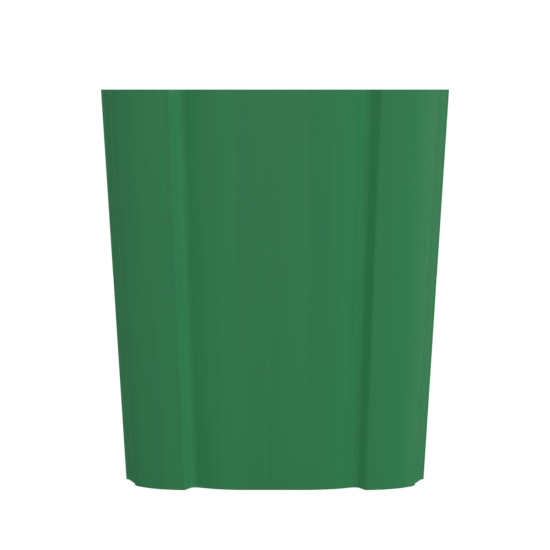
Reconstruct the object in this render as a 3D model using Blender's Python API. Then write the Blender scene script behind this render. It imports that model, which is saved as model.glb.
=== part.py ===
"""A florist bucket: a tapered plastic tub with four corner lobes and a straight-cut rim.

The wall, the floor and the weld between them are three separate solids. The bucket stands on z = 0 with
its axis on Z and its front towards -Y. All sizes are in metres.
"""

import math

import bmesh
import bpy
from mathutils import Vector

# Overall sizes
HEIGHT = 0.2667
FOOT_HALF_WIDTH = 0.1030
FOOT_HALF_DEPTH = 0.1045
RIM_HALF_WIDTH = 0.1190

# Wall
WALL = 0.0015
FRONT_DISH = 0.0008

# The plan's corners in one quarter, from the front panel round to the side panel: how far in from the
# side, how far back from the front, and the radius of the corner
PLAN_CORNERS = (
    ("panel_shoulder", 0.0664, 0.0005, 0.0540),
    ("front_groove", 0.0483, 0.0144, 0.0034),
    ("lobe_front_edge", 0.0430, 0.0000, 0.0022),
    ("lobe_round", 0.0250, 0.0016, 0.0410),
    ("lobe_flank_round", 0.0088, 0.0195, 0.0148),
    ("lobe_flank_edge", 0.0081, 0.0260, 0.0020),
    ("side_groove", 0.0121, 0.0294, 0.0016),
    ("side_shoulder", 0.0072, 0.0330, 0.0020),
    ("side_step_root", 0.0027, 0.0498, 0.0009),
    ("side_step_top", 0.0011, 0.0510, 0.0018),
    ("side_crown", 0.0000, 0.0760, 0.0600),
)
DISH_ROUND = 0.2000
SMALLEST_ROUND = 0.0003
ARC_ERROR = 0.00004

# Floor and its skirt
RECESS = 0.0026
FLOOR = 0.0020
SKIRT = 0.0016
PANEL_RADIUS = 0.0720
PANEL_RISE = 0.0012
PANEL_SLOPE = 0.0030

# Weld between the floor and the wall
BEAD = 0.0030

# Gap between pieces that touch
GAP = 0.0003

FLOOR_TOP = RECESS + FLOOR
BLOCK_CLEARANCE = 0.0010
CIRCLE_STEPS = 96

GREEN = (0.030, 0.172, 0.070, 1.0)
FLOOR_GREEN = (0.028, 0.160, 0.066, 1.0)
WELD_GREEN = (0.034, 0.185, 0.078, 1.0)


def clear_scene():
    for old in list(bpy.data.objects):
        bpy.data.objects.remove(old, do_unlink=True)


def new_collection(name):
    collection = bpy.data.collections.new(name)
    bpy.context.scene.collection.children.link(collection)
    return collection


def plastic(name, colour, roughness):
    material = bpy.data.materials.new(name)
    material.use_nodes = True
    shader = material.node_tree.nodes["Principled BSDF"]
    shader.inputs["Base Color"].default_value = colour
    shader.inputs["Roughness"].default_value = roughness
    shader.inputs["Metallic"].default_value = 0.0
    return material


def arc_steps(turn, radius):
    """How many straight pieces follow an arc without leaving it by more than ARC_ERROR."""
    widest = 2 * math.acos(1 - min(ARC_ERROR / radius, 1))
    return max(2, math.ceil(turn / widest))


def plan_corners():
    """The foot's corners all the way round, anticlockwise from the front, each with its radius."""
    front_centre = (Vector((0, FRONT_DISH - FOOT_HALF_DEPTH)), DISH_ROUND)
    quarter = [
        (Vector((FOOT_HALF_WIDTH - from_side, from_front - FOOT_HALF_DEPTH)), radius)
        for _, from_side, from_front, radius in PLAN_CORNERS
    ]
    right = [front_centre] + quarter
    right += [(Vector((point.x, -point.y)), radius) for point, radius in reversed(quarter)]
    left = [(-point, radius) for point, radius in right]
    return right + left


def turn_at(before, corner, after):
    """The angle that the outline turns through at a corner, positive where it bulges outwards."""
    along = corner - before
    onward = after - corner
    return math.atan2(along.cross(onward), along.dot(onward))


def inset_corner(before, corner, after, inset):
    """The corner moved inwards, so that both edges beside it move in by the same distance."""
    along = (corner - before).normalized()
    onward = (after - corner).normalized()
    inward = Vector((-along.y, along.x)) + Vector((-onward.y, onward.x))
    return corner + inward * (inset / (1 + along.dot(onward)))


def rounded(corners, radii, steps):
    """The closed outline with its corners rounded. A radius gives way where its straights are too short."""
    count = len(corners)
    turns = [turn_at(corners[i - 1], corners[i], corners[(i + 1) % count]) for i in range(count)]
    runs = [radii[i] * math.tan(abs(turns[i]) / 2) for i in range(count)]
    room = [1.0] * count
    for i in range(count):
        after = (i + 1) % count
        straight = (corners[after] - corners[i]).length
        share = min(1.0, 0.98 * straight / (runs[i] + runs[after]))
        room[i] = min(room[i], share)
        room[after] = min(room[after], share)
    outline = []
    for i, corner in enumerate(corners):
        run = runs[i] * room[i]
        back = (corners[i - 1] - corner).normalized()
        onward = (corners[(i + 1) % count] - corner).normalized()
        radius = run / math.tan(abs(turns[i]) / 2)
        centre = corner + (back + onward).normalized() * math.hypot(run, radius)
        start = corner + back * run - centre
        for step in range(steps[i] + 1):
            angle = turns[i] * step / steps[i]
            cos, sin = math.cos(angle), math.sin(angle)
            outline.append(centre + Vector((start.x * cos - start.y * sin, start.x * sin + start.y * cos)))
    return outline


def outline_at(z, inset=0.0):
    """The wall's outline at a height, moved inwards by the inset."""
    growth = 1 + (RIM_HALF_WIDTH / FOOT_HALF_WIDTH - 1) * z / HEIGHT
    foot = plan_corners()
    count = len(foot)
    points = [point * growth for point, _ in foot]
    corners, radii, steps = [], [], []
    for i, (_, radius) in enumerate(foot):
        before, after = points[i - 1], points[(i + 1) % count]
        turn = turn_at(before, points[i], after)
        moved = inset if turn > 0 else -inset
        corners.append(inset_corner(before, points[i], after, inset))
        radii.append(max(radius * growth - moved, SMALLEST_ROUND))
        steps.append(arc_steps(abs(turn), radius))
    return [Vector((point.x, point.y, z)) for point in rounded(corners, radii, steps)]


def loft(name, loops, ring):
    """A solid through a row of outlines: a closed ring, or a body with its two ends filled."""
    mesh = bpy.data.meshes.new(name)
    shape = bmesh.new()
    rows = [[shape.verts.new(point) for point in loop] for loop in loops]
    pairs = list(zip(rows, rows[1:]))
    if ring:
        pairs.append((rows[-1], rows[0]))
    else:
        shape.faces.new(list(reversed(rows[0])))
        shape.faces.new(rows[-1])
    for low, high in pairs:
        for i in range(len(low)):
            j = (i + 1) % len(low)
            shape.faces.new((low[i], low[j], high[j], high[i]))
    shape.to_mesh(mesh)
    shape.free()
    return bpy.data.objects.new(name, mesh)


def frustum(name, low_radius, high_radius, low, high):
    """A round block whose radius changes from its foot to its top."""
    mesh = bpy.data.meshes.new(name)
    shape = bmesh.new()
    bmesh.ops.create_cone(
        shape,
        cap_ends=True,
        segments=CIRCLE_STEPS,
        radius1=low_radius,
        radius2=high_radius,
        depth=high - low,
    )
    shape.to_mesh(mesh)
    shape.free()
    block = bpy.data.objects.new(name, mesh)
    block.location.z = (low + high) / 2
    return block


def smooth(piece, sharp_from):
    piece.data.shade_smooth()
    piece.data.set_sharp_from_angle(angle=math.radians(sharp_from))


def boolean(piece, operation, tool, cutters):
    cutters.objects.link(tool)
    tool.hide_render = True
    tool.display_type = "WIRE"
    modifier = piece.modifiers.new(tool.name, "BOOLEAN")
    modifier.operation = operation
    modifier.solver = "EXACT"
    modifier.object = tool


def wall_shell(bucket):
    """The tapered wall: the same thickness all round, with a flat foot and a straight-cut rim."""
    wall = loft(
        "wall_shell",
        [outline_at(0), outline_at(HEIGHT), outline_at(HEIGHT, WALL), outline_at(0, WALL)],
        ring=True,
    )
    wall.data.materials.append(plastic("wall_plastic", GREEN, 0.45))
    bucket.objects.link(wall)
    smooth(wall, 35)


def base_pan(bucket, cutters):
    """The floor, which wedges in the taper and stands on its own skirt, with a raised round panel."""
    seat = WALL + GAP
    pan = loft("base_pan", [outline_at(0, seat), outline_at(FLOOR_TOP, seat)], ring=False)
    pan.data.materials.append(plastic("floor_plastic", FLOOR_GREEN, 0.5))
    bucket.objects.link(pan)

    inside_skirt = seat + SKIRT
    hollow_foot = -BLOCK_CLEARANCE
    hollow = loft(
        "under_floor",
        [outline_at(hollow_foot, inside_skirt), outline_at(RECESS, inside_skirt)],
        ring=False,
    )
    boolean(pan, "DIFFERENCE", hollow, cutters)

    slope = PANEL_SLOPE / PANEL_RISE
    under_top = RECESS + PANEL_RISE
    under_foot = RECESS - BLOCK_CLEARANCE
    under_low = PANEL_RADIUS - FLOOR + BLOCK_CLEARANCE * slope
    under_high = PANEL_RADIUS - FLOOR - PANEL_SLOPE
    raised_foot = RECESS + FLOOR / 2
    raised_low = PANEL_RADIUS + (FLOOR_TOP - raised_foot) * slope
    raised_high = PANEL_RADIUS - PANEL_SLOPE
    raised = frustum("raised_panel", raised_low, raised_high, raised_foot, FLOOR_TOP + PANEL_RISE)
    boolean(pan, "UNION", raised, cutters)
    under = frustum("under_panel", under_low, under_high, under_foot, under_top)
    boolean(pan, "DIFFERENCE", under, cutters)
    smooth(pan, 35)


def weld_bead(bucket):
    """The three-cornered fillet of plastic in the angle between the floor and the wall."""
    seat = WALL + GAP
    foot = FLOOR_TOP + GAP
    bead = loft(
        "weld_bead",
        [outline_at(foot, seat), outline_at(foot + BEAD, seat), outline_at(foot, seat + BEAD)],
        ring=True,
    )
    bead.data.materials.append(plastic("weld_plastic", WELD_GREEN, 0.4))
    bucket.objects.link(bead)
    smooth(bead, 35)


def main():
    clear_scene()
    bucket = new_collection("florist_bucket")
    cutters = new_collection("cutters")
    wall_shell(bucket)
    base_pan(bucket, cutters)
    weld_bead(bucket)


main()
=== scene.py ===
import math

import bmesh
import bpy
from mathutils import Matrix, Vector


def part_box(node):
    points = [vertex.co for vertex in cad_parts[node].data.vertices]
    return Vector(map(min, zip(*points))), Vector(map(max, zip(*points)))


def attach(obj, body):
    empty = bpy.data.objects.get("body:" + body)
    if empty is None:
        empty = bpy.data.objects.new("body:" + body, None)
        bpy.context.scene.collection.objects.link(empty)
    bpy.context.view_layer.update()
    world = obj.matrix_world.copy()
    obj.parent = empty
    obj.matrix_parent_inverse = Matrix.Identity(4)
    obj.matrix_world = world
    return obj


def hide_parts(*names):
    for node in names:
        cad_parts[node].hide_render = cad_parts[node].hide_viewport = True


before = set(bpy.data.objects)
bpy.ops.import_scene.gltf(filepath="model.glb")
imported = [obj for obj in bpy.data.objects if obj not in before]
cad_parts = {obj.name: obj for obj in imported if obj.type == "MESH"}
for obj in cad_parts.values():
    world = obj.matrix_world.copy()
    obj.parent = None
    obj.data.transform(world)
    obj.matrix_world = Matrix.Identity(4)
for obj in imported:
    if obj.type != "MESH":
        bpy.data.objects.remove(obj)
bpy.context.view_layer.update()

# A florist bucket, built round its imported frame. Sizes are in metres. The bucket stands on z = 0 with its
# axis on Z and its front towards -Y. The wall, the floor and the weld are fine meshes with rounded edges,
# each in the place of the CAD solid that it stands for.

# The plan's corners in one quarter, from the front panel round to the side panel: how far in from the
# side, how far back from the front, and the radius of the corner. They are the CAD's own.
FOOT_HALF_DEPTH = 0.1045
FRONT_DISH = 0.0008
DISH_ROUND = 0.2000
PLAN_CORNERS = (
    ("panel_shoulder", 0.0664, 0.0005, 0.0540),
    ("front_groove", 0.0483, 0.0144, 0.0034),
    ("lobe_front_edge", 0.0430, 0.0000, 0.0022),
    ("lobe_round", 0.0250, 0.0016, 0.0410),
    ("lobe_flank_round", 0.0088, 0.0195, 0.0148),
    ("lobe_flank_edge", 0.0081, 0.0260, 0.0020),
    ("side_groove", 0.0121, 0.0294, 0.0016),
    ("side_shoulder", 0.0072, 0.0330, 0.0020),
    ("side_step_root", 0.0027, 0.0498, 0.0009),
    ("side_step_top", 0.0011, 0.0510, 0.0018),
    ("side_crown", 0.0000, 0.0760, 0.0600),
)
SMALLEST_ROUND = 0.0003
ARC_ERROR = 0.000006
LONGEST_STRAIGHT = 0.004

# Wall, floor and weld
WALL = 0.0015
GAP = 0.0003
RECESS = 0.0026
FLOOR = 0.0020
SKIRT = 0.0016
PANEL_RADIUS = 0.0720
PANEL_RISE = 0.0012
PANEL_SLOPE = 0.0030
BEAD = 0.0030

# Small roundings that the CAD leaves square
RIM_ROUND = 0.0004
FOOT_ROUND = 0.0005
FLOOR_ROUND = 0.0004
ROUND_STEPS = 4
WALL_ROWS = 36

# The mark left by the gate under the floor, and the rings left by the ejector pins
GATE_RADIUS = 0.0045
GATE_DEPTH = 0.0005
PIP_RADIUS = 0.0012
PIP_HEIGHT = 0.0004
PIP_FLAT = 0.4
PIN_RADIUS = 0.0040
PIN_CIRCLE = 0.0500
PIN_DEPTH = 0.00015
PINS = 4
CIRCLE_STEPS = 192
PIN_STEPS = 40

FLOOR_TOP = RECESS + FLOOR
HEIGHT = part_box("wall_shell")[1].z
RIM_HALF_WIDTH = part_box("wall_shell")[1].x
wall_points = [vertex.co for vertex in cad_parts["wall_shell"].data.vertices]
FOOT_HALF_WIDTH = max(point.x for point in wall_points if point.z < ARC_ERROR)
TAPER = (RIM_HALF_WIDTH / FOOT_HALF_WIDTH - 1) / HEIGHT


# --- the plan -------------------------------------------------------------------------------------


def arc_steps(turn, radius):
    """How many straight pieces follow an arc without leaving it by more than ARC_ERROR."""
    widest = 2 * math.acos(1 - min(ARC_ERROR / radius, 1))
    return max(3, math.ceil(turn / widest))


def plan_corners():
    """The foot's corners all the way round, anticlockwise from the front, each with its radius."""
    front_centre = (Vector((0, FRONT_DISH - FOOT_HALF_DEPTH)), DISH_ROUND)
    quarter = [
        (Vector((FOOT_HALF_WIDTH - from_side, from_front - FOOT_HALF_DEPTH)), radius)
        for _, from_side, from_front, radius in PLAN_CORNERS
    ]
    right = [front_centre] + quarter
    right += [(Vector((point.x, -point.y)), radius) for point, radius in reversed(quarter)]
    left = [(-point, radius) for point, radius in right]
    return right + left


def turn_at(before, corner, after):
    """The angle that the outline turns through at a corner, positive where it bulges outwards."""
    along = corner - before
    onward = after - corner
    return math.atan2(along.cross(onward), along.dot(onward))


def inset_corner(before, corner, after, inset):
    """The corner moved inwards, so that both edges beside it move in by the same distance."""
    along = (corner - before).normalized()
    onward = (after - corner).normalized()
    inward = Vector((-along.y, along.x)) + Vector((-onward.y, onward.x))
    return corner + inward * (inset / (1 + along.dot(onward)))


class Plan:
    """The plan's corners at the foot, with the steps of each arc and each straight, worked out once."""

    def __init__(self):
        self.foot = plan_corners()
        points = [point for point, _ in self.foot]
        count = len(points)
        self.turns = [turn_at(points[i - 1], points[i], points[(i + 1) % count]) for i in range(count)]
        self.arc = [arc_steps(abs(turn), radius) for turn, (_, radius) in zip(self.turns, self.foot)]
        self.straight = []
        for i in range(count):
            after = (i + 1) % count
            length = (points[after] - points[i]).length
            length -= self.foot[i][1] * math.tan(abs(self.turns[i]) / 2)
            length -= self.foot[after][1] * math.tan(abs(self.turns[after]) / 2)
            self.straight.append(max(1, math.ceil(length / LONGEST_STRAIGHT)))

    def at(self, z, inset=0.0):
        """The outline at a height, moved inwards by the inset. Every outline has the same point count."""
        growth = 1 + TAPER * z
        points = [point * growth for point, _ in self.foot]
        count = len(points)
        corners, radii = [], []
        for i, (_, radius) in enumerate(self.foot):
            moved = inset if self.turns[i] > 0 else -inset
            corners.append(inset_corner(points[i - 1], points[i], points[(i + 1) % count], inset))
            radii.append(max(radius * growth - moved, SMALLEST_ROUND))
        arcs = self.arcs(corners, radii)
        outline = []
        for i, arc in enumerate(arcs):
            outline += arc
            onward = arcs[(i + 1) % count][0]
            steps = self.straight[i]
            outline += [arc[-1].lerp(onward, step / steps) for step in range(1, steps)]
        return [Vector((point.x, point.y, z)) for point in outline]

    def arcs(self, corners, radii):
        """The arc at each corner. A radius gives way where its straights are too short."""
        count = len(corners)
        runs = [radii[i] * math.tan(abs(self.turns[i]) / 2) for i in range(count)]
        room = [1.0] * count
        for i in range(count):
            after = (i + 1) % count
            share = 0.98 * (corners[after] - corners[i]).length / (runs[i] + runs[after])
            room[i] = min(room[i], share)
            room[after] = min(room[after], share)
        arcs = []
        for i, corner in enumerate(corners):
            run = runs[i] * room[i]
            back = (corners[i - 1] - corner).normalized()
            onward = (corners[(i + 1) % count] - corner).normalized()
            radius = run / math.tan(abs(self.turns[i]) / 2)
            centre = corner + (back + onward).normalized() * math.hypot(run, radius)
            start = corner + back * run - centre
            arc = []
            for step in range(self.arc[i] + 1):
                angle = self.turns[i] * step / self.arc[i]
                cos, sin = math.cos(angle), math.sin(angle)
                arc.append(centre + Vector((start.x * cos - start.y * sin, start.x * sin + start.y * cos)))
            arcs.append(arc)
        return arcs


PLAN = Plan()


# --- mesh helpers ---------------------------------------------------------------------------------


def add_rows(shape, loops, ring):
    """Quads through a row of outlines. A ring joins the last outline to the first."""
    rows = [[shape.verts.new(point) for point in loop] for loop in loops]
    pairs = list(zip(rows, rows[1:]))
    if ring:
        pairs.append((rows[-1], rows[0]))
    for low, high in pairs:
        for i in range(len(low)):
            j = (i + 1) % len(low)
            shape.faces.new((low[i], low[j], high[j], high[i]))
    return rows


def quarter_round(start, end, square, steps=ROUND_STEPS):
    """Section points on the rounded corner from start to end, about the square corner between them."""
    (z0, i0), (z1, i1) = start, end
    z_centre = z0 + z1 - square[0]
    i_centre = i0 + i1 - square[1]
    points = []
    for step in range(steps + 1):
        angle = math.pi / 2 * step / steps
        points.append(
            (
                z_centre + (z0 - z_centre) * math.cos(angle) + (z1 - z_centre) * math.sin(angle),
                i_centre + (i0 - i_centre) * math.cos(angle) + (i1 - i_centre) * math.sin(angle),
            )
        )
    return points


def new_piece(name, shape, material, sharp_from=180):
    """A smooth-shaded object made from the shape. Edges sharper than sharp_from degrees stay sharp."""
    mesh = bpy.data.meshes.new(name)
    shape.normal_update()
    shape.to_mesh(mesh)
    shape.free()
    mesh.materials.append(material)
    mesh.shade_smooth()
    if sharp_from < 180:
        mesh.set_sharp_from_angle(angle=math.radians(sharp_from))
    piece = bpy.data.objects.new(name, mesh)
    bpy.context.scene.collection.objects.link(piece)
    return piece


def weight_normals(piece):
    """Keeps the flat stretches flat where they run into small roundings."""
    modifier = piece.modifiers.new("weighted_normals", "WEIGHTED_NORMAL")
    modifier.mode = "FACE_AREA_WITH_ANGLE"
    modifier.keep_sharp = True


# --- materials ------------------------------------------------------------------------------------

# Draw lines: how closely they lie across the wall and how far each one runs, and how the fine and the
# broad ones share in the colour
LINES_ACROSS = 220.0
LINES_STRETCH = 0.02
BROAD_SCALE = 0.16
FINE_SHARE = 0.45
BROAD_SHARE = 0.55
TONE_LOW = 0.36
TONE_HIGH = 0.64

# Grain: its scale, and the scale of the gloss changes as a share of it
GRAIN_SCALE = 1400.0
GLOSS_SCALE = 0.03
GLOSS_SPREAD = 0.10

# Rubbing: how far it reaches up from the foot and down from the rim, its patches and its scratches
FOOT_REACH = 0.006
RIM_REACH = 0.003
PATCH_SCALE = 60.0
PATCH_LOW, PATCH_HIGH = 0.48, 0.72
SCRATCH_SCALE = 420.0
SCRATCH_LOW, SCRATCH_HIGH = 0.58, 0.74
RUB_PALENESS = 0.25
RUB_DULLNESS = 0.12

# Surface
LINE_HEIGHT = 0.6
BUMP_STRENGTH = 0.05
BUMP_DISTANCE = 0.0002
SPECULAR_LEVEL = 0.28
PLASTIC_IOR = 1.49

# The greens of each finish: the deep and the bright one along the draw lines, and the one where it is rubbed
WALL_GREENS = ((0.0238, 0.1520, 0.0606, 1), (0.0276, 0.1660, 0.0622, 1), (0.060, 0.220, 0.110, 1))
FLOOR_GREENS = ((0.0215, 0.1450, 0.0550, 1), (0.0245, 0.1580, 0.0605, 1), (0.060, 0.210, 0.105, 1))
WELD_GREENS = ((0.0240, 0.1600, 0.0610, 1), (0.0280, 0.1760, 0.0690, 1), (0.065, 0.230, 0.118, 1))
WALL_ROUGHNESS = 0.46
FLOOR_ROUGHNESS = 0.50
WELD_ROUGHNESS = 0.38


def new_group(name, inputs, outputs):
    """An empty node group with its named inputs and outputs, and its two end nodes."""
    group = bpy.data.node_groups.new(name, "ShaderNodeTree")
    for label, default in inputs:
        socket = group.interface.new_socket(label, in_out="INPUT", socket_type="NodeSocketFloat")
        socket.default_value = default
    for label, kind in outputs:
        group.interface.new_socket(label, in_out="OUTPUT", socket_type=kind)
    nodes = group.nodes
    return group, nodes.new("NodeGroupInput"), nodes.new("NodeGroupOutput")


def math_node(tree, operation, first, second=None, third=None, clamp=False):
    """One step of arithmetic. Each value is a number or the output of another node."""
    node = tree.nodes.new("ShaderNodeMath")
    node.operation = operation
    node.use_clamp = clamp
    for slot, value in enumerate((first, second, third)):
        if value is None:
            continue
        if isinstance(value, (int, float)):
            node.inputs[slot].default_value = value
        else:
            tree.links.new(value, node.inputs[slot])
    return node.outputs[0]


def object_axes(tree):
    """The object's own coordinates, as one vector and as its three parts."""
    place = tree.nodes.new("ShaderNodeTexCoord").outputs["Object"]
    split = tree.nodes.new("ShaderNodeSeparateXYZ")
    tree.links.new(place, split.inputs[0])
    return place, split.outputs


def noise(tree, vector, scale, detail, roughness):
    """Soft noise over the surface, from 0 to 1."""
    node = tree.nodes.new("ShaderNodeTexNoise")
    node.inputs["Detail"].default_value = detail
    node.inputs["Roughness"].default_value = roughness
    if isinstance(scale, (int, float)):
        node.inputs["Scale"].default_value = scale
    else:
        tree.links.new(scale, node.inputs["Scale"])
    tree.links.new(vector, node.inputs["Vector"])
    return node.outputs["Fac"]


def smooth_step(tree, value, low, high):
    """Runs from 0 to 1 as the value goes from low to high, easing at both ends."""
    node = tree.nodes.new("ShaderNodeMapRange")
    node.interpolation_type = "SMOOTHSTEP"
    node.inputs["From Min"].default_value = low
    node.inputs["From Max"].default_value = high
    tree.links.new(value, node.inputs["Value"])
    return node.outputs["Result"]


def draw_lines_group():
    """Faint lines that run up the wall along its taper, left as the plastic is drawn to shape."""
    group, given, result = new_group(
        "draw_lines",
        [("Across", LINES_ACROSS), ("Stretch", LINES_STRETCH)],
        [("Mask", "NodeSocketFloat"), ("Broad", "NodeSocketFloat")],
    )
    _, (x, y, z) = object_axes(group)
    growth = math_node(group, "MULTIPLY_ADD", z, TAPER, 1.0)
    along = group.nodes.new("ShaderNodeCombineXYZ")
    group.links.new(math_node(group, "DIVIDE", x, growth), along.inputs[0])
    group.links.new(math_node(group, "DIVIDE", y, growth), along.inputs[1])
    group.links.new(math_node(group, "MULTIPLY", z, given.outputs["Stretch"]), along.inputs[2])
    fine = noise(group, along.outputs[0], given.outputs["Across"], detail=3.0, roughness=0.55)
    broad_scale = math_node(group, "MULTIPLY", given.outputs["Across"], BROAD_SCALE)
    group.links.new(fine, result.inputs["Mask"])
    broad = noise(group, along.outputs[0], broad_scale, detail=2.0, roughness=0.5)
    group.links.new(broad, result.inputs["Broad"])
    return group


def grain_group():
    """The fine skin of moulded plastic: a height for the bump and a value for the gloss."""
    group, given, result = new_group(
        "plastic_grain",
        [("Scale", GRAIN_SCALE)],
        [("Height", "NodeSocketFloat"), ("Gloss", "NodeSocketFloat")],
    )
    place, _ = object_axes(group)
    height = noise(group, place, given.outputs["Scale"], detail=2.0, roughness=0.5)
    group.links.new(height, result.inputs["Height"])
    gloss_scale = math_node(group, "MULTIPLY", given.outputs["Scale"], GLOSS_SCALE)
    gloss = noise(group, place, gloss_scale, detail=4.0, roughness=0.6)
    group.links.new(gloss, result.inputs["Gloss"])
    return group


def handling_group():
    """Where hands, shelves and floors rub the plastic: patches and scratches along the rim and the foot."""
    group, given, result = new_group(
        "handling_wear",
        [("Foot Reach", FOOT_REACH), ("Rim Reach", RIM_REACH)],
        [("Mask", "NodeSocketFloat")],
    )
    place, (_, _, z) = object_axes(group)
    foot = math_node(group, "DIVIDE", z, given.outputs["Foot Reach"])
    foot = math_node(group, "SUBTRACT", 1.0, foot, clamp=True)
    from_rim = math_node(group, "SUBTRACT", HEIGHT, z)
    rim = math_node(group, "DIVIDE", from_rim, given.outputs["Rim Reach"])
    rim = math_node(group, "SUBTRACT", 1.0, rim, clamp=True)
    edge = math_node(group, "MAXIMUM", foot, rim)
    patches = noise(group, place, PATCH_SCALE, detail=5.0, roughness=0.65)
    patches = smooth_step(group, patches, PATCH_LOW, PATCH_HIGH)
    scratches = noise(group, place, SCRATCH_SCALE, detail=6.0, roughness=0.7)
    scratches = smooth_step(group, scratches, SCRATCH_LOW, SCRATCH_HIGH)
    rubbed = math_node(group, "MULTIPLY", edge, math_node(group, "MAXIMUM", patches, scratches))
    group.links.new(rubbed, result.inputs["Mask"])
    return group


DRAW_LINES = draw_lines_group()
GRAIN = grain_group()
HANDLING = handling_group()


def place_group(tree, group, **values):
    """Places a node group in a material with its own values, and gives its outputs."""
    node = tree.nodes.new("ShaderNodeGroup")
    node.node_tree = group
    for label, value in values.items():
        node.inputs[label.replace("_", " ")].default_value = value
    return node.outputs


def mix_colour(tree, amount, first, second):
    """A colour that goes from the first to the second as the amount goes from 0 to 1."""
    node = tree.nodes.new("ShaderNodeMix")
    node.data_type = "RGBA"
    tree.links.new(amount, node.inputs["Factor"])
    for label, value in (("A", first), ("B", second)):
        socket = [s for s in node.inputs if s.name == label and s.type == "RGBA"][0]
        if isinstance(value, tuple):
            socket.default_value = value
        else:
            tree.links.new(value, socket)
    return [s for s in node.outputs if s.type == "RGBA"][0]


def green_plastic(name, deep, bright, rubbed, roughness, across=LINES_ACROSS, stretch=LINES_STRETCH):
    """Satin green plastic, a little uneven along its draw lines and rubbed paler at its edges."""
    material = bpy.data.materials.new(name)
    material.use_nodes = True
    tree = material.node_tree
    shader = tree.nodes["Principled BSDF"]
    lines = place_group(tree, DRAW_LINES, Across=across, Stretch=stretch)
    grain = place_group(tree, GRAIN, Scale=GRAIN_SCALE)
    wear = place_group(tree, HANDLING)["Mask"]
    tone = math_node(tree, "MULTIPLY", lines["Mask"], FINE_SHARE)
    tone = math_node(tree, "MULTIPLY_ADD", lines["Broad"], BROAD_SHARE, tone)
    tone = smooth_step(tree, tone, TONE_LOW, TONE_HIGH)
    colour = mix_colour(tree, tone, deep, bright)
    faint = math_node(tree, "MULTIPLY", wear, RUB_PALENESS)
    tree.links.new(mix_colour(tree, faint, colour, rubbed), shader.inputs["Base Color"])
    gloss = math_node(tree, "MULTIPLY_ADD", grain["Gloss"], GLOSS_SPREAD, roughness - GLOSS_SPREAD / 2)
    gloss = math_node(tree, "MULTIPLY_ADD", wear, RUB_DULLNESS, gloss)
    tree.links.new(gloss, shader.inputs["Roughness"])
    height = math_node(tree, "MULTIPLY_ADD", lines["Mask"], LINE_HEIGHT, grain["Height"])
    bump = tree.nodes.new("ShaderNodeBump")
    bump.inputs["Strength"].default_value = BUMP_STRENGTH
    bump.inputs["Distance"].default_value = BUMP_DISTANCE
    tree.links.new(height, bump.inputs["Height"])
    tree.links.new(bump.outputs["Normal"], shader.inputs["Normal"])
    shader.inputs["Metallic"].default_value = 0.0
    shader.inputs["Specular IOR Level"].default_value = SPECULAR_LEVEL
    shader.inputs["IOR"].default_value = PLASTIC_IOR
    return material


# --- pieces ---------------------------------------------------------------------------------------


def wall_section():
    """Height and inset round the wall's section: up the outside, over the rim and down the inside."""
    top = HEIGHT
    inner_rim = WALL - RIM_ROUND
    inner_foot = WALL - FOOT_ROUND
    low, high = FOOT_ROUND, HEIGHT - RIM_ROUND
    rows = [low + (high - low) * row / WALL_ROWS for row in range(1, WALL_ROWS)]
    section = quarter_round((0, FOOT_ROUND), (low, 0), (0, 0))
    section += [(z, 0) for z in rows]
    section += quarter_round((high, 0), (top, RIM_ROUND), (top, 0))
    section += quarter_round((top, inner_rim), (high, WALL), (top, WALL))
    section += [(z, WALL) for z in reversed(rows)]
    section += quarter_round((low, WALL), (0, inner_foot), (0, WALL))
    return section


def make_wall():
    """The lobed wall, from its foot edge to its straight-cut rim."""
    shape = bmesh.new()
    add_rows(shape, [PLAN.at(z, inset) for z, inset in wall_section()], ring=True)
    wall = new_piece(
        "lobed_wall",
        shape,
        green_plastic("wall_satin_green", *WALL_GREENS, WALL_ROUGHNESS),
    )
    weight_normals(wall)
    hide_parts("wall_shell")
    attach(wall, "root")


def circle(radius, z, centre=(0.0, 0.0), steps=CIRCLE_STEPS):
    """The points of a level circle, anticlockwise from its front."""
    angles = [2 * math.pi * step / steps - math.pi / 2 for step in range(steps)]
    return [Vector((centre[0] + radius * math.cos(a), centre[1] + radius * math.sin(a), z)) for a in angles]


def fill_flat(shape, loops, up):
    """Fills a level stretch between closed loops of vertices, facing up or down."""
    edges = []
    for loop in loops:
        for i, vertex in enumerate(loop):
            onward = loop[(i + 1) % len(loop)]
            edges.append(shape.edges.get((vertex, onward)) or shape.edges.new((vertex, onward)))
    made = bmesh.ops.triangle_fill(shape, use_beauty=True, use_dissolve=False, edges=edges)
    faces = [item for item in made["geom"] if isinstance(item, bmesh.types.BMFace)]
    for face in faces:
        face.normal_update()
        if (face.normal.z > 0) != up:
            face.normal_flip()


def turned_rows(shape, profile, centre=(0.0, 0.0), steps=CIRCLE_STEPS):
    """Rows of a round feature through (radius, height) pairs, from the inside outwards."""
    return add_rows(shape, [circle(radius, z, centre, steps) for radius, z in profile], ring=False)


def soft_step(radius_in, radius_out, z_in, z_out, steps=6):
    """Profile points of a step with a rounded top and a rounded root."""
    points = []
    for step in range(steps + 1):
        share = step / steps
        eased = share * share * (3 - 2 * share)
        points.append((radius_in + (radius_out - radius_in) * share, z_in + (z_out - z_in) * eased))
    return points


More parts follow.
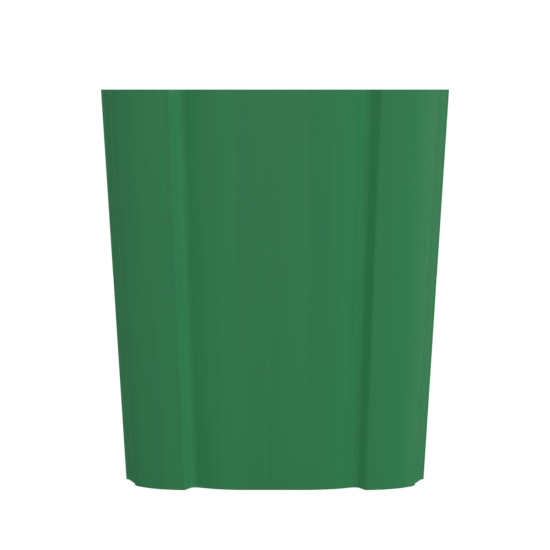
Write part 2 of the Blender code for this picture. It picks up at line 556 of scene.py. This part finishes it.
def make_floor():
    """The floor: a raised round panel inside, and under it the gate mark, pin rings and a skirt."""
    shape = bmesh.new()
    seat = WALL + GAP
    inner = seat + SKIRT
    edge = FLOOR_ROUND
    section = quarter_round((FLOOR_TOP, seat + edge), (FLOOR_TOP - edge, seat), (FLOOR_TOP, seat))
    section += quarter_round((edge, seat), (0, seat + edge), (0, seat))
    section += quarter_round((0, inner - edge), (edge, inner), (0, inner))
    section += quarter_round((RECESS - edge, inner), (RECESS, inner + edge), (RECESS, inner))
    section.reverse()
    rows = add_rows(shape, [PLAN.at(z, inset) for z, inset in section], ring=False)
    under_edge, top_edge = rows[0], rows[-1]

    panel_top = FLOOR_TOP + PANEL_RISE
    outer = soft_step(PANEL_RADIUS - PANEL_SLOPE, PANEL_RADIUS, panel_top, FLOOR_TOP)
    top_rows = turned_rows(shape, list(reversed(outer)))
    fill_flat(shape, [top_edge, top_rows[0]], up=True)
    fill_flat(shape, [top_rows[-1]], up=True)

    under_radius = PANEL_RADIUS - FLOOR
    under_top = RECESS + PANEL_RISE
    under = turned_rows(shape, soft_step(under_radius - PANEL_SLOPE, under_radius, under_top, RECESS))
    fill_flat(shape, [under_edge, under[-1]], up=False)
    gate_top = under_top + GATE_DEPTH
    pip = soft_step(PIP_RADIUS * PIP_FLAT, PIP_RADIUS, gate_top - PIP_HEIGHT, gate_top, steps=4)
    gate_step = soft_step(GATE_RADIUS - GATE_DEPTH, GATE_RADIUS, gate_top, under_top, steps=4)
    gate = turned_rows(shape, pip + gate_step, steps=PIN_STEPS)
    fill_flat(shape, [gate[0]], up=False)
    flat_loops = [under[0], gate[-1]]
    for pin in range(PINS):
        angle = math.pi / 4 + 2 * math.pi * pin / PINS
        centre = (PIN_CIRCLE * math.cos(angle), PIN_CIRCLE * math.sin(angle))
        ring = [
            (PIN_RADIUS - 2 * PIN_DEPTH, under_top),
            (PIN_RADIUS - PIN_DEPTH, under_top + PIN_DEPTH),
            (PIN_RADIUS, under_top),
        ]
        pin_rows = turned_rows(shape, ring, centre, PIN_STEPS)
        fill_flat(shape, [pin_rows[0]], up=False)
        flat_loops.append(pin_rows[-1])
    fill_flat(shape, flat_loops, up=False)

    floor = new_piece(
        "bucket_floor",
        shape,
        green_plastic("floor_satin_green", *FLOOR_GREENS, FLOOR_ROUGHNESS, across=60.0, stretch=1.0),
        sharp_from=40,
    )
    weight_normals(floor)
    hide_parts("base_pan")
    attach(floor, "root")


RIPPLE_PITCH = 0.0042
RIPPLE = 0.00018
BEAD_STEPS = 8
BEAD_ROUNDNESS = 0.78


def make_weld():
    """The weld: a rounded fillet between floor and wall, with the ripples of a bead laid by hand."""
    seat = WALL + GAP
    foot = FLOOR_TOP + GAP
    base = PLAN.at(foot, seat)
    length = 0.0
    lengths = []
    for i, point in enumerate(base):
        lengths.append(length)
        length += (base[(i + 1) % len(base)] - point).length
    ripples = round(length / RIPPLE_PITCH)
    loops = [base, PLAN.at(foot + BEAD, seat)]
    for step in range(1, BEAD_STEPS + 1):
        angle = math.pi / 2 * step / BEAD_STEPS
        rise = 1 - math.sin(angle) * BEAD_ROUNDNESS if step < BEAD_STEPS else 0.0
        flat = (1 - BEAD_ROUNDNESS) * (1 - step / BEAD_STEPS)
        inset = seat + BEAD * (1 - math.cos(angle) * BEAD_ROUNDNESS - flat)
        z = foot + BEAD * rise
        belly = math.sin(math.pi * step / BEAD_STEPS)
        ring = PLAN.at(z, inset)
        inner = PLAN.at(z, inset + RIPPLE)
        for i, point in enumerate(ring):
            wave = 0.5 + 0.5 * math.sin(2 * math.pi * ripples * lengths[i] / length)
            ring[i] = point.lerp(inner[i], wave * belly)
        loops.append(ring)
    shape = bmesh.new()
    add_rows(shape, loops, ring=True)
    bead = new_piece(
        "weld_fillet",
        shape,
        green_plastic("weld_green", *WELD_GREENS, WELD_ROUGHNESS, across=90.0, stretch=1.0),
        sharp_from=50,
    )
    weight_normals(bead)
    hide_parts("weld_bead")
    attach(bead, "root")


# --- stage, light and camera ----------------------------------------------------------------------

# The room's light as the bucket gets it and as the camera sees it, and the stage's own grey and glow
ROOM_LIGHT = 0.06
ROOM_SEEN = 1.05
STAGE_GREY = 0.08
STAGE_ROUGHNESS = 0.9
STAGE_SPECULAR = 0.1
STAGE_SIZE = 30.0
GLOW_NEAR = 0.97
GLOW_FAR = 1.02
GLOW_REACH = 2.2


def make_stage():
    """A pale floor that glows a little more with distance, so that it stays white, and a white room."""
    shape = bmesh.new()
    bmesh.ops.create_grid(shape, x_segments=1, y_segments=1, size=STAGE_SIZE)
    material = bpy.data.materials.new("studio_white")
    material.use_nodes = True
    tree = material.node_tree
    shader = tree.nodes["Principled BSDF"]
    shader.inputs["Base Color"].default_value = (STAGE_GREY, STAGE_GREY, STAGE_GREY, 1)
    shader.inputs["Roughness"].default_value = STAGE_ROUGHNESS
    shader.inputs["Specular IOR Level"].default_value = STAGE_SPECULAR
    place, _ = object_axes(tree)
    distance = tree.nodes.new("ShaderNodeVectorMath")
    distance.operation = "LENGTH"
    tree.links.new(place, distance.inputs[0])
    share = smooth_step(tree, distance.outputs["Value"], 0.0, GLOW_REACH)
    near = (GLOW_NEAR, GLOW_NEAR, GLOW_NEAR, 1)
    far = (GLOW_FAR, GLOW_FAR, GLOW_FAR, 1)
    tree.links.new(mix_colour(tree, share, near, far), shader.inputs["Emission Color"])
    path = tree.nodes.new("ShaderNodeLightPath")
    tree.links.new(path.outputs["Is Camera Ray"], shader.inputs["Emission Strength"])
    floor = new_piece("studio_floor", shape, material)
    floor.location.z = -GAP

    world = bpy.data.worlds.new("studio_room")
    bpy.context.scene.world = world
    world.use_nodes = True
    tree = world.node_tree
    seen = tree.nodes["Background"]
    seen.inputs["Color"].default_value = (1, 1, 1, 1)
    seen.inputs["Strength"].default_value = ROOM_SEEN
    lit = tree.nodes.new("ShaderNodeBackground")
    lit.inputs["Color"].default_value = (1, 1, 1, 1)
    lit.inputs["Strength"].default_value = ROOM_LIGHT
    mix = tree.nodes.new("ShaderNodeMixShader")
    path = tree.nodes.new("ShaderNodeLightPath")
    tree.links.new(path.outputs["Is Camera Ray"], mix.inputs[0])
    tree.links.new(lit.outputs[0], mix.inputs[1])
    tree.links.new(seen.outputs[0], mix.inputs[2])
    tree.links.new(mix.outputs[0], tree.nodes["World Output"].inputs["Surface"])


# A ring of fill lamps stands all round the bucket, a quarter stronger than RING_WATTS straight to the right
# and a quarter weaker straight to the left. They cast no shadows and don't show in the gloss, so that they
# fill the grooves softly.
RING_LAMPS = 12
RING_WATTS = 10.2
RING_HEIGHT = 0.12
RIGHT_SHARE = 0.25

# Three more lamps: one behind on the right that shows as a sheen down the right flank, one in front, and a
# strong one overhead. The lamp overhead stands a little forward of the axis.
LAMP_DISTANCE = 2.0
LAMP_SIZE = 0.9
LAMP_HEIGHT = 1.0
SHEEN_ANGLE = 120
SHEEN_WATTS = 6.0
FRONT_WATTS = 5.0
OVERHEAD_HEIGHT = 2.4
OVERHEAD_FORWARD = 0.01
OVERHEAD_WATTS = 40.0


def place_lamp(name, angle, distance, height, watts, casts_shadow, shows_in_gloss):
    """A soft round lamp aimed at the middle of the bucket. Its angle runs from the front towards +X."""
    lamp = bpy.data.lights.new(name, "AREA")
    lamp.shape = "DISK"
    lamp.size = LAMP_SIZE
    lamp.energy = watts
    lamp.use_shadow = casts_shadow
    holder = bpy.data.objects.new(name, lamp)
    holder.visible_glossy = shows_in_gloss
    bpy.context.scene.collection.objects.link(holder)
    holder.location = (distance * math.sin(angle), -distance * math.cos(angle), height)
    aim = Vector((0, 0, HEIGHT / 2)) - holder.location
    holder.rotation_euler = aim.to_track_quat("-Z", "Y").to_euler()


def make_lamps():
    """The ring of fill lamps, and then the three others."""
    for step in range(RING_LAMPS):
        angle = 2 * math.pi * step / RING_LAMPS
        watts = RING_WATTS * (1 + RIGHT_SHARE * math.sin(angle))
        place_lamp(f"ring_fill_{step}", angle, LAMP_DISTANCE, RING_HEIGHT, watts, False, False)
    sheen_angle = math.radians(SHEEN_ANGLE)
    place_lamp("sheen_right_back", sheen_angle, LAMP_DISTANCE, LAMP_HEIGHT, SHEEN_WATTS, False, True)
    place_lamp("key_front", 0.0, LAMP_DISTANCE, LAMP_HEIGHT, FRONT_WATTS, True, False)
    place_lamp("key_overhead", 0.0, OVERHEAD_FORWARD, OVERHEAD_HEIGHT, OVERHEAD_WATTS, True, True)


CAMERA_DISTANCE = 1.905
CAMERA_BELOW_RIM = 0.0008
CAMERA_TILT = 3.876
CAMERA_LENS = 178.07
CAMERA_SENSOR = 36


def make_camera():
    """A long lens at about the height of the rim, tipped down a little."""
    camera = bpy.data.objects.new("camera", bpy.data.cameras.new("camera"))
    bpy.context.scene.collection.objects.link(camera)
    camera.location = (0, -CAMERA_DISTANCE, HEIGHT - CAMERA_BELOW_RIM)
    camera.rotation_euler = (math.radians(90 - CAMERA_TILT), 0, 0)
    camera.data.lens = CAMERA_LENS
    camera.data.sensor_width = CAMERA_SENSOR
    bpy.context.scene.camera = camera


make_wall()
make_floor()
make_weld()
make_stage()
make_lamps()
make_camera()
bpy.context.scene.view_settings.view_transform = "Standard"
